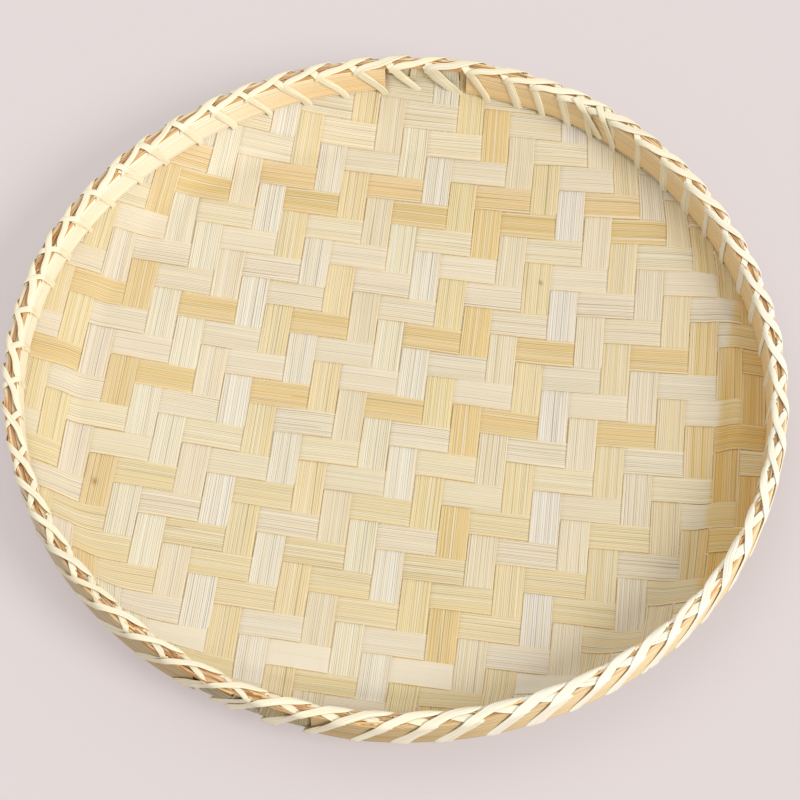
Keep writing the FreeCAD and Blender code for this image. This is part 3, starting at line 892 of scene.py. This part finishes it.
def bamboo(name, half_width, line_strength, roughness, bump, glow, edge_strength):
    """Split bamboo: strands with dark lines between them, slow drifts of tone, golden edges."""
    n = Nodes(name)
    uv = n.add("ShaderNodeUVMap", uv_map="strip")
    parts = n.add("ShaderNodeSeparateXYZ")
    n.link(uv.outputs[0], parts.inputs[0])
    across, along = parts.outputs[0], parts.outputs[1]
    tint = n.add("ShaderNodeAttribute", attribute_name="tint")
    traits = n.add("ShaderNodeAttribute", attribute_name="traits")
    split = n.add("ShaderNodeSeparateColor")
    n.link(traits.outputs["Color"], split.inputs[0])
    contrast, seed, edge_tone = split.outputs[0], split.outputs[1], split.outputs[2]
    offset = n.math("MULTIPLY", seed, 173.0)

    def stretched(across_scale, along_scale, shift):
        vector = n.add("ShaderNodeCombineXYZ")
        n.link(n.math("MULTIPLY", across, half_width * across_scale), vector.inputs[0])
        n.link(n.math("MULTIPLY", along, along_scale), vector.inputs[1])
        n.link(n.math("ADD", offset, shift), vector.inputs[2])
        return vector.outputs[0]

    def random(value, shift):
        white = n.add("ShaderNodeTexWhiteNoise", noise_dimensions="2D")
        vector = n.add("ShaderNodeCombineXYZ")
        n.link(value, vector.inputs[0])
        n.link(n.math("ADD", n.math("FLOOR", offset), shift), vector.inputs[1])
        n.link(vector.outputs[0], white.inputs["Vector"])
        return white.outputs["Value"]

    # Strands of uneven width, with a dark line of uneven strength where two of them meet.
    wander = n.noise(stretched(0.55, 0.004, 11.0), 1.0, 2.0, 0.5)
    strands = n.math("MULTIPLY", across, half_width / STRAND_WIDTH)
    place = n.math("ADD", strands, n.math("MULTIPLY", wander, 2.6))
    cell, within = n.math("FLOOR", place), n.math("FRACT", place)
    line = n.ramp(within, ((0.0, 0.9), (0.18, 1.0), (0.48, 0.0)))
    fade = n.ramp(n.noise(stretched(1.3, 0.012, 23.0), 1.0, 2.0, 0.6), ((0.34, 0.55), (0.56, 1.0)))
    weight = n.math("ADD", n.math("MULTIPLY", random(cell, 0.3), 0.5), 0.55)
    line = n.math("MULTIPLY", n.math("MULTIPLY", line, fade), weight)
    strand_tone = random(cell, 0.7)

    fine = n.noise(stretched(1.0, 0.0045, 0.0), 2.6, 3.0, 0.62)
    coarse = n.noise(stretched(1.0, 0.003, 31.0), 0.42, 2.0, 0.5)
    flecks = n.noise(stretched(1.0, 0.05, 57.0), 2.4, 2.0, 0.6)
    drift = n.noise(stretched(0.25, 0.02, 83.0), 1.0, 2.0, 0.5)
    strength = n.math("MULTIPLY", contrast, line_strength)
    colour = tint.outputs["Color"]
    brown = n.mix(1.0, colour, LINE_BROWN, "MULTIPLY")
    pale = n.mix(0.6, colour, PALE_STRAND)
    warm = n.mix(1.0, colour, WARM_STRAND, "MULTIPLY")
    light = n.ramp(strand_tone, ((0.45, 0.0), (1.0, 0.9)))
    colour = n.mix(n.math("MULTIPLY", light, strength), colour, pale)
    dull = n.ramp(strand_tone, ((0.0, 0.8), (0.35, 0.0)))
    colour = n.mix(n.math("MULTIPLY", dull, strength), colour, warm)
    colour = n.mix(n.math("MULTIPLY", line, strength), colour, brown)
    fibres = n.math("MULTIPLY", n.ramp(fine, ((0.34, 1.0), (0.50, 0.0))), 0.45)
    colour = n.mix(n.math("MULTIPLY", fibres, n.math("ADD", strength, 0.25)), colour, warm)
    colour = n.mix(n.ramp(coarse, ((0.42, 0.0), (0.68, 0.45))), colour, warm)
    colour = n.mix(n.ramp(drift, ((0.48, 0.0), (0.78, 0.25))), colour, warm)
    fleck_colour = n.mix(1.0, colour, FLECK_BROWN, "MULTIPLY")
    fleck_amount = n.math("MULTIPLY", n.ramp(flecks, ((0.68, 0.0), (0.80, 1.0))), 0.3)
    colour = n.mix(fleck_amount, colour, fleck_colour)
    distance = n.math("ABSOLUTE", across)
    gold = n.mix(0.8, colour, EDGE_GOLD)
    rim = n.ramp(distance, ((0.86, 0.0), (0.92, 1.0)))
    edge = n.math("MULTIPLY", edge_tone, edge_strength)
    colour = n.mix(n.math("MULTIPLY", rim, edge), colour, gold)

    shader = n.add("ShaderNodeBsdfPrincipled")
    n.link(colour, shader.inputs["Base Color"])
    rough = n.add("ShaderNodeMapRange")
    n.link(fine, rough.inputs[0])
    rough.inputs["From Min"].default_value = 0.3
    rough.inputs["From Max"].default_value = 0.7
    rough.inputs["To Min"].default_value = roughness + 0.08
    rough.inputs["To Max"].default_value = roughness - 0.08
    n.link(rough.outputs[0], shader.inputs["Roughness"])
    shader.inputs["Specular IOR Level"].default_value = 0.35
    grooves = n.math("SUBTRACT", fine, n.math("MULTIPLY", line, strength))
    bumper = n.add("ShaderNodeBump")
    bumper.inputs["Strength"].default_value = bump
    bumper.inputs["Distance"].default_value = 0.00015
    n.link(grooves, bumper.inputs["Height"])
    n.link(bumper.outputs[0], shader.inputs["Normal"])
    output = n.add("ShaderNodeOutputMaterial")
    surface = shader.outputs[0]
    if glow > 0:
        through = n.add("ShaderNodeBsdfTranslucent")
        n.link(n.mix(1.0, colour, LIGHT_THROUGH, "MULTIPLY"), through.inputs[0])
        blend = n.add("ShaderNodeMixShader")
        blend.inputs[0].default_value = glow
        n.link(surface, blend.inputs[1])
        n.link(through.outputs[0], blend.inputs[2])
        surface = blend.outputs[0]
    n.link(surface, output.inputs[0])
    return n.material


# ---- Stage --------------------------------------------------------------------------
def camera():
    """Seen from above, 32 degrees off vertical, through a long lens."""
    aim = Vector((0.0001, 0.0071, 0.001))
    azimuth, off_vertical, distance = math.radians(8.81), math.radians(31.83), 1.8857
    back = Vector((
        math.sin(azimuth) * math.sin(off_vertical),
        -math.cos(azimuth) * math.sin(off_vertical),
        math.cos(off_vertical),
    ))
    data = bpy.data.cameras.new("camera")
    data.sensor_width = 36.0
    data.lens = 164.3
    data.clip_end = 20.0
    made = bpy.data.objects.new("camera", data)
    made.location = aim + back * distance
    right = Vector((math.cos(azimuth), math.sin(azimuth), 0.0))
    up = back.cross(right)
    made.rotation_euler = Matrix((right, up, back)).transposed().to_euler()
    bpy.context.scene.collection.objects.link(made)
    bpy.context.scene.camera = made


def sun(name, direction, strength, softness, colour):
    data = bpy.data.lights.new(name, "SUN")
    data.energy = strength
    data.angle = math.radians(softness)
    data.color = colour
    made = bpy.data.objects.new(name, data)
    made.rotation_euler = Vector(direction).to_track_quat("Z", "Y").to_euler()
    bpy.context.scene.collection.objects.link(made)


def stage():
    half = 3.0
    mesh = bpy.data.meshes.new("floor")
    mesh.from_pydata(
        [(-half, -half, 0), (half, -half, 0), (half, half, 0), (-half, half, 0)], [], [(0, 1, 2, 3)]
    )
    n = Nodes("pale_floor")
    shader = n.add("ShaderNodeBsdfPrincipled")
    shader.inputs["Base Color"].default_value = (0.285, 0.256, 0.256, 1)
    shader.inputs["Emission Color"].default_value = (0.36, 0.325, 0.322, 1)
    shader.inputs["Emission Strength"].default_value = 1.15
    shader.inputs["Roughness"].default_value = 0.9
    shader.inputs["Specular IOR Level"].default_value = 0.1
    output = n.add("ShaderNodeOutputMaterial")
    n.link(shader.outputs[0], output.inputs[0])
    mesh.materials.append(n.material)
    floor = bpy.data.objects.new("floor", mesh)
    bpy.context.scene.collection.objects.link(floor)
    world = bpy.data.worlds.new("studio")
    world.use_nodes = True
    background = world.node_tree.nodes["Background"]
    background.inputs[0].default_value = (1.0, 1.0, 0.985, 1)
    background.inputs[1].default_value = 0.67
    bpy.context.scene.world = world
    sun("key", (0.73, -0.34, 0.64), 2.38, 26.0, (0.99, 1.0, 0.985))
    sun("fill", (-0.4, 0.3, 1.0), 0.5, 40.0, (0.97, 0.98, 1.0))
    bpy.context.scene.view_settings.view_transform = "Standard"


def build():
    strip_material = bamboo(
        "bamboo_strip", half_width=7.4, line_strength=1.0, roughness=0.5, bump=0.5, glow=0.28,
        edge_strength=0.85,
    )
    hoop_material = bamboo(
        "bamboo_hoop", half_width=8.3, line_strength=1.1, roughness=0.5, bump=0.4, glow=0.0,
        edge_strength=0.4,
    )
    filler_material = bamboo(
        "bamboo_filler", half_width=1.0, line_strength=0.9, roughness=0.6, bump=0.5, glow=0.0,
        edge_strength=0.4,
    )
    ribbon_material = bamboo(
        "bamboo_ribbon", half_width=2.0, line_strength=0.6, roughness=0.42, bump=0.3, glow=0.12,
        edge_strength=0.4,
    )
    for kind in ("warp", "weft"):
        for number in range(STRIP_COUNT):
            woven_strip(kind, number, strip_material)
    hoops_and_filler(hoop_material, filler_material)
    lacing("lacing_first_course", "lacing_under", course_under, 41, ribbon_material)
    lacing("lacing_second_course", "lacing_over", course_over, 42, ribbon_material)
    lacing_tail(ribbon_material)


build()
camera()
stage()
